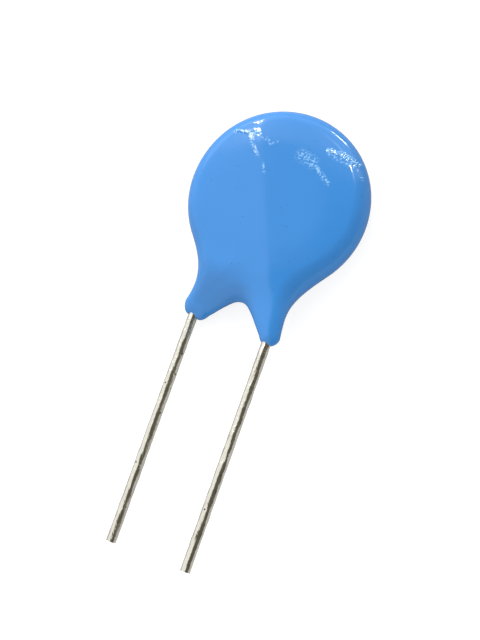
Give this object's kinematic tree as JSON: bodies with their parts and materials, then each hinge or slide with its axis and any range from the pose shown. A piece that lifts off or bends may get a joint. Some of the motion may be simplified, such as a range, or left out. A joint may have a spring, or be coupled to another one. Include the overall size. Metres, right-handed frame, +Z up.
{
  "type": "ceramic disc capacitor",
  "caption": "Round dipped ceramic capacitor lying flat: a blue epoxy disc with skirts round two straight tinned leads that cross on the disc.",
  "frame": {"origin": "below the middle of the part's box, on the surface that it lies on", "axes": "+Y from the cut ends of the leads towards the disc, +X across the two leads, +Z up through the thickness of the disc, from its rear face to its front face"},
  "size_m": [0.0104, 0.0262, 0.0029],
  "materials": {
    "epoxy": "glossy dipped epoxy",
    "ceramic": "fired, unglazed",
    "silver": "matt fired silver paste",
    "solder": "smooth solder",
    "tinned_wire": "bright tinned copper wire"
  },
  "bodies": {
    "root": {"coating": "epoxy", "ceramic_disc": "ceramic", "front_electrode": "silver", "rear_electrode": "silver", "front_solder": "solder", "rear_solder": "solder", "front_lead": "tinned_wire", "rear_lead": "tinned_wire"}
  },
  "joints": []
}
